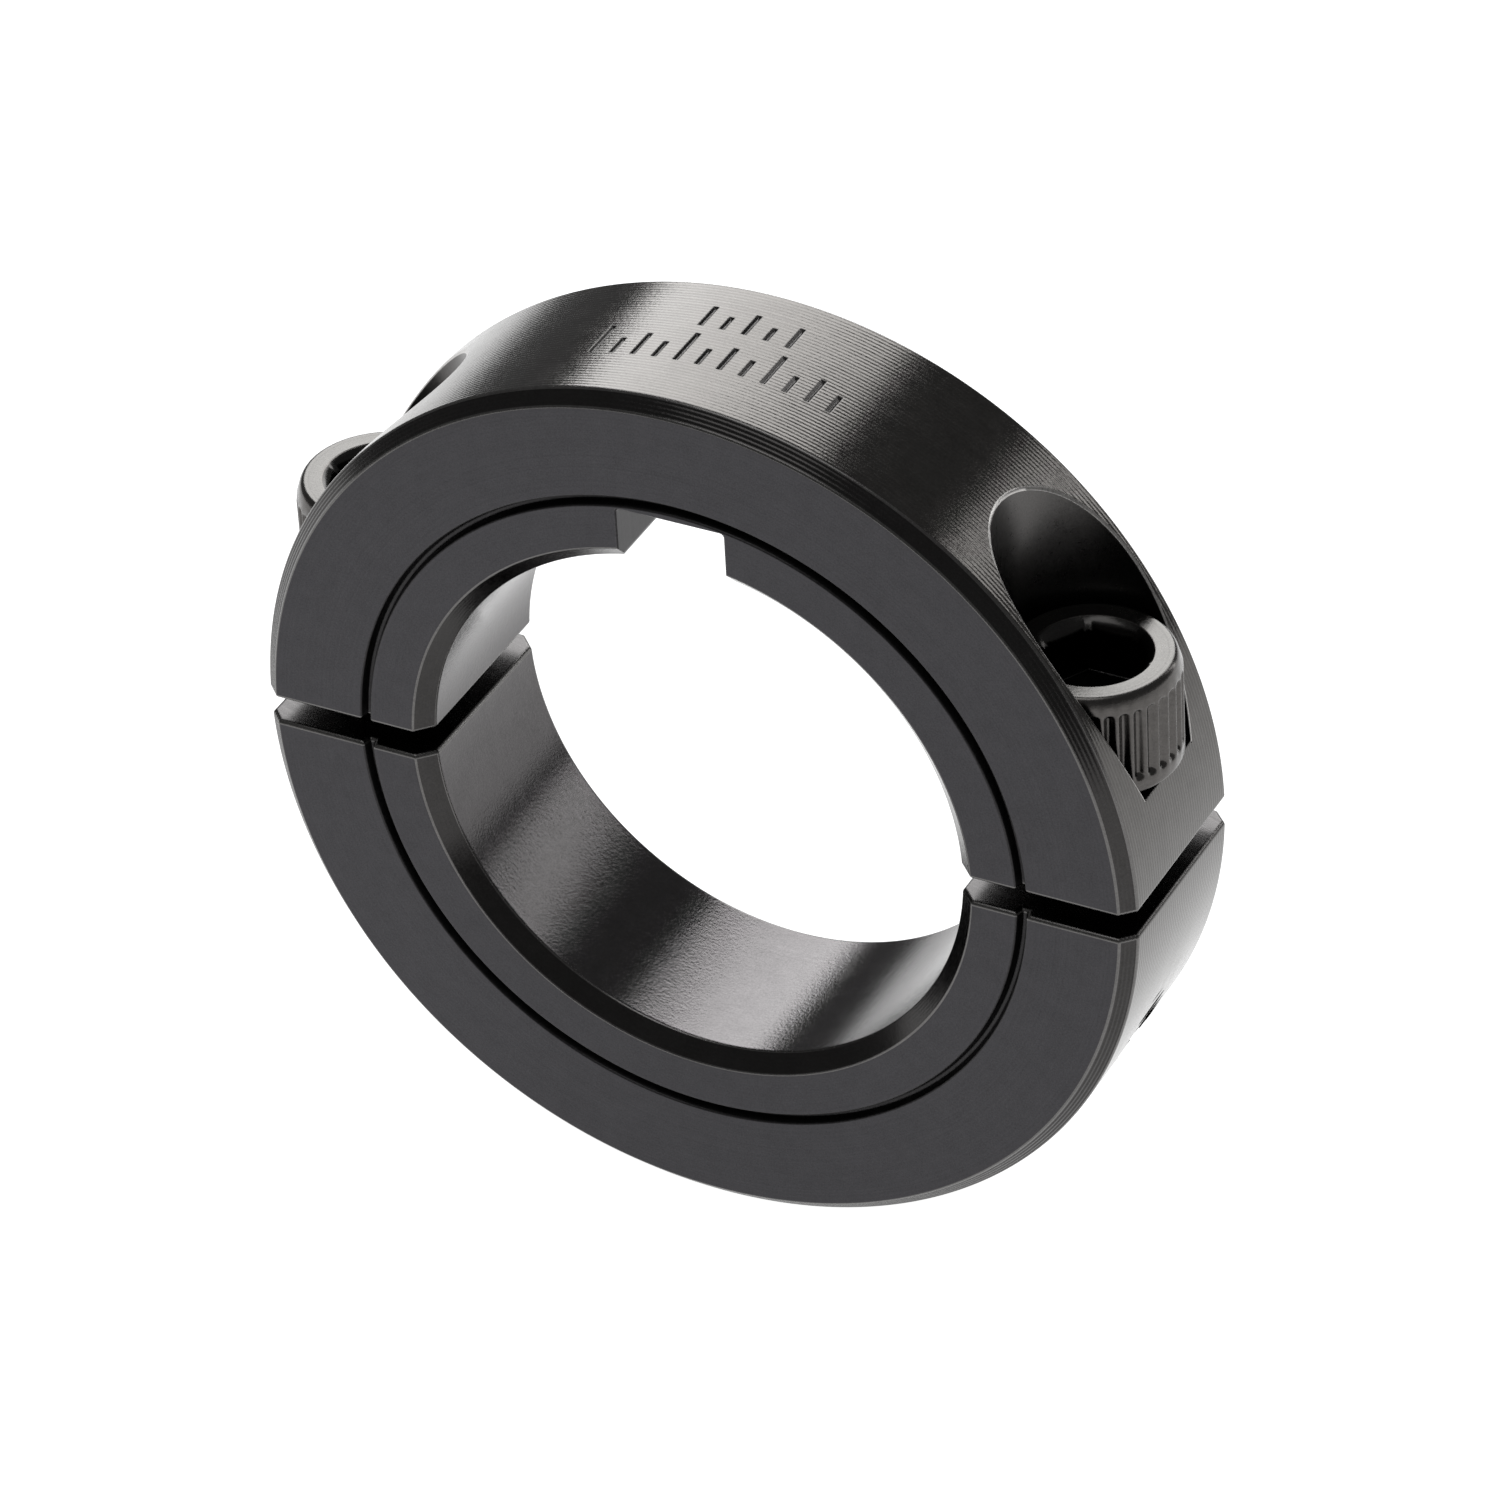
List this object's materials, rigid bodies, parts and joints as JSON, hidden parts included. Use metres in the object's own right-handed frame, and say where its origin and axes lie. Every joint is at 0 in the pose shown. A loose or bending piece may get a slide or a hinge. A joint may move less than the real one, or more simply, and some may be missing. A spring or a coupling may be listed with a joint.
{
  "type": "two-piece keyed shaft collar",
  "caption": "Split clamp-on shaft collar with a keyway: two black steel half rings drawn together on a keyed shaft by socket head cap screws.",
  "frame": {"origin": "centre of the shaft bore, halfway through the collar's width and halfway through the kerf", "axes": "+Y along the bore from the grooved front face to the plain rear face; +Z square to the split plane, from the tapped half to the keyed half and its keyway; +X across the ring to the right-hand screw seen from the front"},
  "size_m": [0.0524, 0.0126, 0.0524],
  "materials": {
    "keyed_half_oxide": "black oxide on turned steel, satin faces and glossier outside",
    "tapped_half_oxide": "black oxide on turned steel, satin faces and glossier outside",
    "screw_right_oxide": "oiled black oxide on alloy steel, satin flat ring on top of the head",
    "screw_left_oxide": "oiled black oxide on alloy steel, satin flat ring on top of the head"
  },
  "bodies": {
    "tapped_half": {"collar_half_tapped": "tapped_half_oxide"},
    "keyed_half": {"collar_half_keyed": "keyed_half_oxide"},
    "screw_right": {"cap_screw_right": "screw_right_oxide"},
    "screw_left": {"cap_screw_left": "screw_left_oxide"}
  },
  "joints": [
    {"name": "clamp_gap", "type": "slide", "parent": "tapped_half", "child": "keyed_half", "axis": [0, 0, 1], "range_m": [-0.00136, 0.00861]},
    {"name": "screw_right_turn", "type": "hinge", "parent": "keyed_half", "child": "screw_right", "pos_m": [0.02125, 0, 0.00635], "axis": [0, 0, 1], "range_deg": [-541, 3421]},
    {"name": "screw_left_turn", "type": "hinge", "parent": "keyed_half", "child": "screw_left", "pos_m": [-0.02125, 0, 0.00635], "axis": [0, 0, 1], "range_deg": [-541, 3421]}
  ],
  "couplings": [
    {"joint": "screw_right_turn", "follows": "clamp_gap", "rad_per_m": 6926.3},
    {"joint": "screw_left_turn", "follows": "clamp_gap", "rad_per_m": 6926.3}
  ]
}
